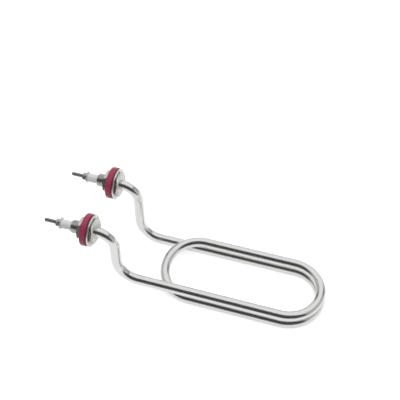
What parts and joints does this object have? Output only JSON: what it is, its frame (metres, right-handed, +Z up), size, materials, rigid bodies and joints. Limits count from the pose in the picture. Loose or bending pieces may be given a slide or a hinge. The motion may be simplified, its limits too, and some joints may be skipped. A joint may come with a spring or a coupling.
{
  "type": "tubular heating element",
  "caption": "Stainless tubular heating element: a flat oblong coil with legs that rise to threaded wall fittings with silicone gaskets and insulated screw terminals.",
  "frame": {"origin": "on the gaskets' outer sealing plane (the inner face of the wall it is fixed to), midway between the two fittings, at the height of their axes", "axes": "+X into the chamber along the heated turns, -X the wiring side; +Y towards the rear fitting; +Z up, from the turns' plane towards the fittings' axes"},
  "size_m": [0.2735, 0.097, 0.091],
  "materials": {
    "sheath_steel": "bright drawn",
    "fitting_steel": "turned",
    "washer_steel": "stamped",
    "spring_steel": "blackened",
    "stud_steel": "rolled",
    "silicone": "moulded",
    "ceramic": "fired",
    "magnesia": "compacted powder",
    "nichrome": "drawn",
    "seal_resin": "cast"
  },
  "bodies": {
    "root": {"heating_tube": "sheath_steel", "magnesia_filling": "magnesia", "resistance_coil": "nichrome", "front_threaded_fitting": "fitting_steel", "front_flange_washer": "washer_steel", "front_silicone_gasket": "silicone", "front_outer_washer": "washer_steel", "front_lock_nut": "fitting_steel", "front_end_seal": "seal_resin", "front_ceramic_insulator": "ceramic", "front_terminal_washer": "washer_steel", "front_spring_washer": "spring_steel", "front_terminal_nut": "stud_steel", "front_terminal_stud": "stud_steel", "rear_threaded_fitting": "fitting_steel", "rear_flange_washer": "washer_steel", "rear_silicone_gasket": "silicone", "rear_outer_washer": "washer_steel", "rear_lock_nut": "fitting_steel", "rear_end_seal": "seal_resin", "rear_ceramic_insulator": "ceramic", "rear_terminal_washer": "washer_steel", "rear_spring_washer": "spring_steel", "rear_terminal_nut": "stud_steel", "rear_terminal_stud": "stud_steel"}
  },
  "joints": []
}
